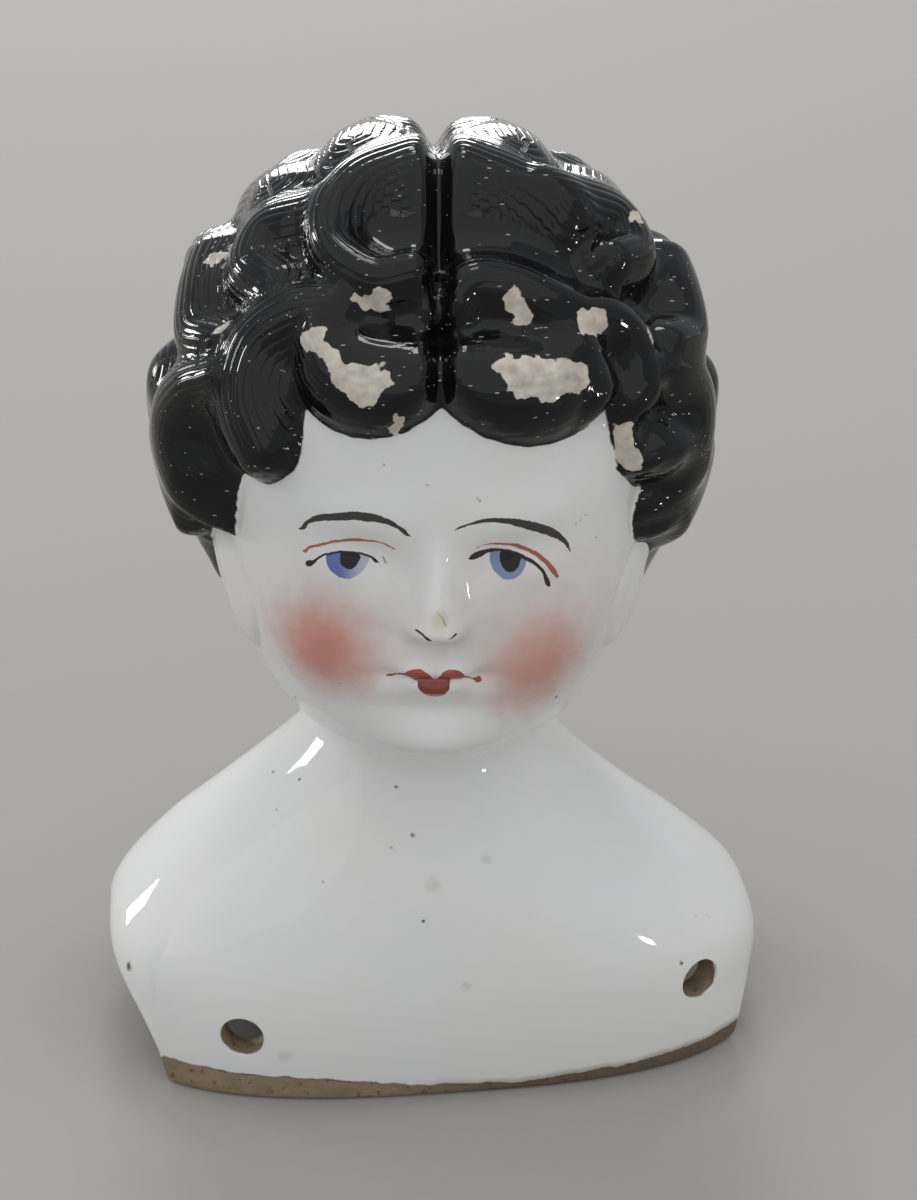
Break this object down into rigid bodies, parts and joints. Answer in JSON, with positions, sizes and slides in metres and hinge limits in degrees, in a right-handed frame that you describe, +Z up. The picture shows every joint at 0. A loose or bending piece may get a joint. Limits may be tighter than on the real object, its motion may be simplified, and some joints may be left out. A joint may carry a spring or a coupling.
{
  "type": "porcelain doll head",
  "caption": "Glazed porcelain shoulder head of a doll: short moulded curls, closed crown, hollow and open below, with arm cuts in its plate and a sew hole near each corner.",
  "frame": {"origin": "middle of the part's outline in plan, in the plane of the rim it stands on", "axes": "+Z up along the neck, -Y the way the chest faces, +X to the doll's own left; the head turns 6 degrees to its right"},
  "size_m": [0.0972, 0.079, 0.1398],
  "materials": {
    "glazed_porcelain": "white porcelain under a clear gloss glaze, with black fired hair, painted features, chips and a bare brown rim"
  },
  "bodies": {
    "root": {"shoulder_head": "glazed_porcelain"}
  },
  "joints": []
}
